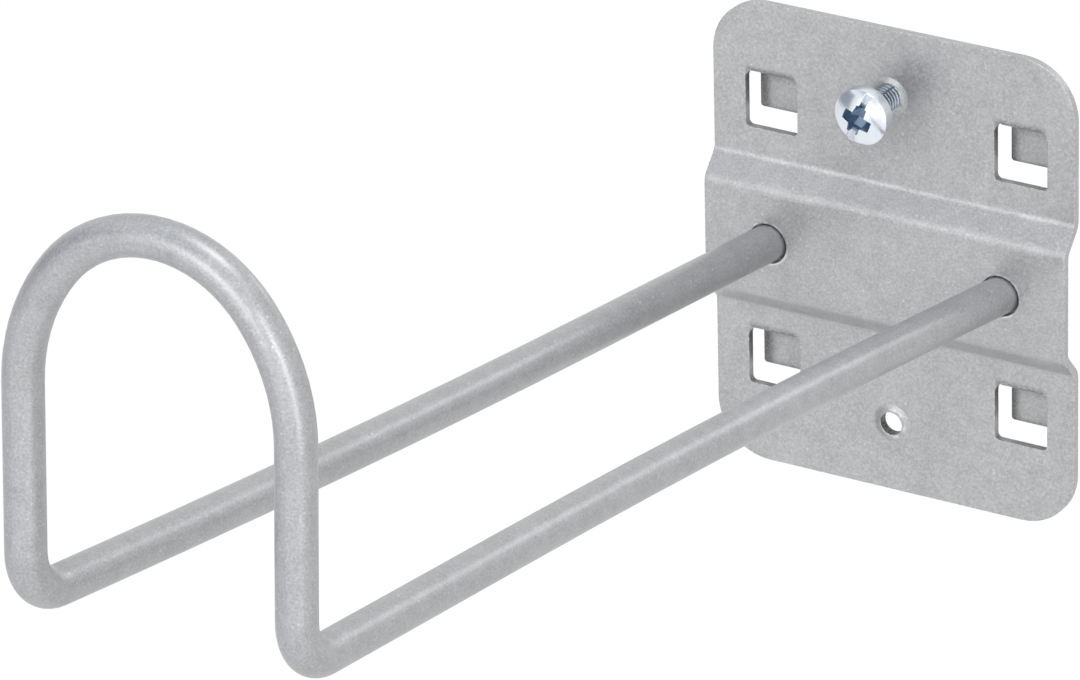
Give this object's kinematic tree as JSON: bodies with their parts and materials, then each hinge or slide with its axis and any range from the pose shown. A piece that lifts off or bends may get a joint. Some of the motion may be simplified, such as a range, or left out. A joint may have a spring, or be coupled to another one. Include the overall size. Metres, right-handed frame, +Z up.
{
  "type": "cable holder",
  "caption": "Cable holder for square-hole panels: a bent wire with two long arms and an upright arch, welded to a formed hook plate with a securing screw.",
  "frame": {"origin": "centre of the square of the four hooks, in the plane where the plate's back meets the panel", "axes": "+Z up, -Y along the arms away from the panel, +X to the right seen from the front"},
  "size_m": [0.055, 0.1832, 0.1087],
  "materials": {
    "coated_sheet": "satin metallic powder coat",
    "coated_wire": "satin metallic powder coat",
    "coated_weld": "satin metallic powder coat",
    "zinc": "bright zinc plate"
  },
  "bodies": {
    "holder": {"back_plate": "coated_sheet", "wire_loop": "coated_wire", "weld_left": "coated_weld", "weld_right": "coated_weld"},
    "screw": {"securing_screw": "zinc"}
  },
  "joints": [
    {"name": "screw_travel", "type": "slide", "parent": "holder", "child": "screw", "axis": [0, 1, 0], "range_m": [-0.001, 0.0059]}
  ]
}
